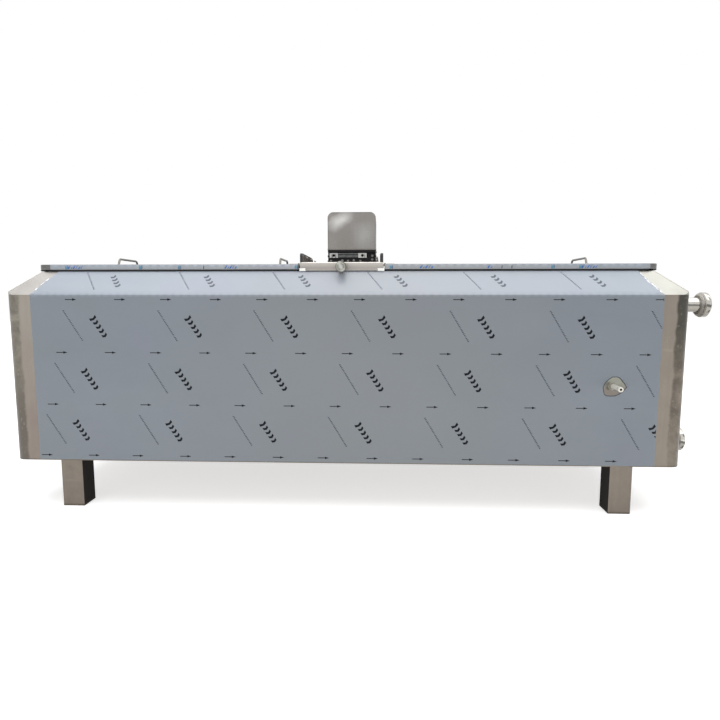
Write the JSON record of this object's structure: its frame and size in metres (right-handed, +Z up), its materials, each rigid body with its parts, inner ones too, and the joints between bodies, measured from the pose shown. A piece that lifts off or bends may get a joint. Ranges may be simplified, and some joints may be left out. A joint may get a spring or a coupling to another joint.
{
  "type": "milk pasteurizing vat",
  "caption": "Long insulated steel vat with a sloped shoulder, hinged lids either side of an agitator bridge, a geared drive under a hood, pipe unions and square legs.",
  "frame": {"origin": "on the floor under the middle of the whole part's box", "axes": "+X along the vat towards the pipe fittings, -Y to the front with the thermometer pocket, +Z up"},
  "size_m": [2.553, 1.2734, 1.134],
  "materials": {
    "leg_steel": "brushed square tube",
    "frame_steel": "primed",
    "sheet_steel": "satin sheet",
    "foam": "cut foam",
    "jacket_steel": "mill finish",
    "liner_steel": "polished satin",
    "film": "clear blue-grey film with a printed pattern",
    "lid_steel": "satin sheet",
    "rubber_seal": "matt black",
    "rod_steel": "polished rod",
    "hinge_steel": "satin",
    "black_pin": "blackened",
    "bridge_steel": "satin sheet",
    "nylon": "white nylon",
    "cast_black": "satin black over casting",
    "gear_steel": "machined",
    "hood_steel": "brushed sheet",
    "screw_steel": "bright",
    "agitator_steel": "polished",
    "fitting_steel": "turned and polished",
    "lever_steel": "satin"
  },
  "bodies": {
    "vat": {"leg_front_left": "leg_steel", "leg_front_right": "leg_steel", "leg_rear_left": "leg_steel", "leg_rear_right": "leg_steel", "base_frame": "frame_steel", "floor_pan": "sheet_steel", "front_panel": "sheet_steel", "rear_panel": "sheet_steel", "front_shoulder": "sheet_steel", "rear_shoulder": "sheet_steel", "left_end_cap": "sheet_steel", "right_end_cap": "sheet_steel", "insulation": "foam", "water_jacket": "jacket_steel", "liner_front_floor": "liner_steel", "liner_rear_floor": "liner_steel", "liner_front_wall": "liner_steel", "liner_rear_wall": "liner_steel", "liner_front_shoulder": "liner_steel", "liner_rear_shoulder": "liner_steel", "liner_left_end": "liner_steel", "liner_right_end": "liner_steel", "protective_film": "film", "bridge_hinges": "hinge_steel", "hinge_pins": "black_pin", "agitator_bridge": "bridge_steel", "bridge_pads": "nylon", "bumper_brackets": "bridge_steel", "lid_bumpers": "rubber_seal", "gearbox_housing": "cast_black", "gearbox_cover": "cast_black", "motor_housing": "cast_black", "terminal_box": "cast_black", "motor_hood": "hood_steel", "drive_screws": "screw_steel", "shaft_seal": "rubber_seal", "rinse_pipe": "fitting_steel", "milk_inlet_pipe": "fitting_steel", "water_inlet_pipe": "fitting_steel", "outlet_valve": "fitting_steel", "thermometer_pocket": "fitting_steel"},
    "left_lid": {"left_lid": "lid_steel", "left_gasket": "rubber_seal", "left_outer_handle": "rod_steel", "left_inner_handle": "rod_steel", "left_lid_hinges": "hinge_steel"},
    "right_lid": {"right_lid": "lid_steel", "right_gasket": "rubber_seal", "right_outer_handle": "rod_steel", "right_lid_hinges": "hinge_steel"},
    "agitator": {"agitator_shaft": "agitator_steel", "agitator_paddle": "agitator_steel", "output_wheel": "gear_steel"},
    "countershaft": {"countershaft": "gear_steel"},
    "rotor": {"motor_rotor": "gear_steel"},
    "inlet_nut": {"milk_inlet_nut": "fitting_steel"},
    "water_nut": {"water_inlet_nut": "fitting_steel"},
    "rinse_cap": {"rinse_cap": "fitting_steel"},
    "valve_lever": {"valve_lever": "lever_steel"}
  },
  "joints": [
    {"name": "left_lid_hinge", "type": "hinge", "parent": "vat", "child": "left_lid", "pos_m": [-0.2325, 0.0363, 0.893], "axis": [0, 1, 0], "range_deg": [0, 95]},
    {"name": "right_lid_hinge", "type": "hinge", "parent": "vat", "child": "right_lid", "pos_m": [0.0795, 0.0363, 0.893], "axis": [0, -1, 0], "range_deg": [0, 95]},
    {"name": "agitator_spin", "type": "hinge", "parent": "vat", "child": "agitator", "pos_m": [-0.0765, 0.0363, 0.6], "axis": [0, 0, 1], "continuous": true},
    {"name": "countershaft_spin", "type": "hinge", "parent": "vat", "child": "countershaft", "pos_m": [-0.0315, 0.0363, 0.93], "axis": [0, 0, 1], "continuous": true},
    {"name": "rotor_spin", "type": "hinge", "parent": "vat", "child": "rotor", "pos_m": [-0.0765, 0.0363, 1], "axis": [0, 0, 1], "continuous": true},
    {"name": "inlet_nut_turn", "type": "hinge", "parent": "vat", "child": "inlet_nut", "pos_m": [1.2645, -0.3637, 0.746], "axis": [1, 0, 0], "continuous": true},
    {"name": "water_nut_turn", "type": "hinge", "parent": "vat", "child": "water_nut", "pos_m": [1.2475, -0.2817, 0.213], "axis": [1, 0, 0], "continuous": true},
    {"name": "rinse_cap_turn", "type": "hinge", "parent": "vat", "child": "rinse_cap", "pos_m": [-0.0765, -0.5187, 0.8825], "axis": [0, -1, 0], "continuous": true},
    {"name": "valve_lever_turn", "type": "hinge", "parent": "vat", "child": "valve_lever", "pos_m": [1.2005, 0.0363, 0.4], "axis": [0, 0, -1], "range_deg": [0, 90]}
  ],
  "couplings": [
    {"joint": "countershaft_spin", "follows": "agitator_spin", "ratio": -5},
    {"joint": "rotor_spin", "follows": "agitator_spin", "ratio": 25}
  ]
}
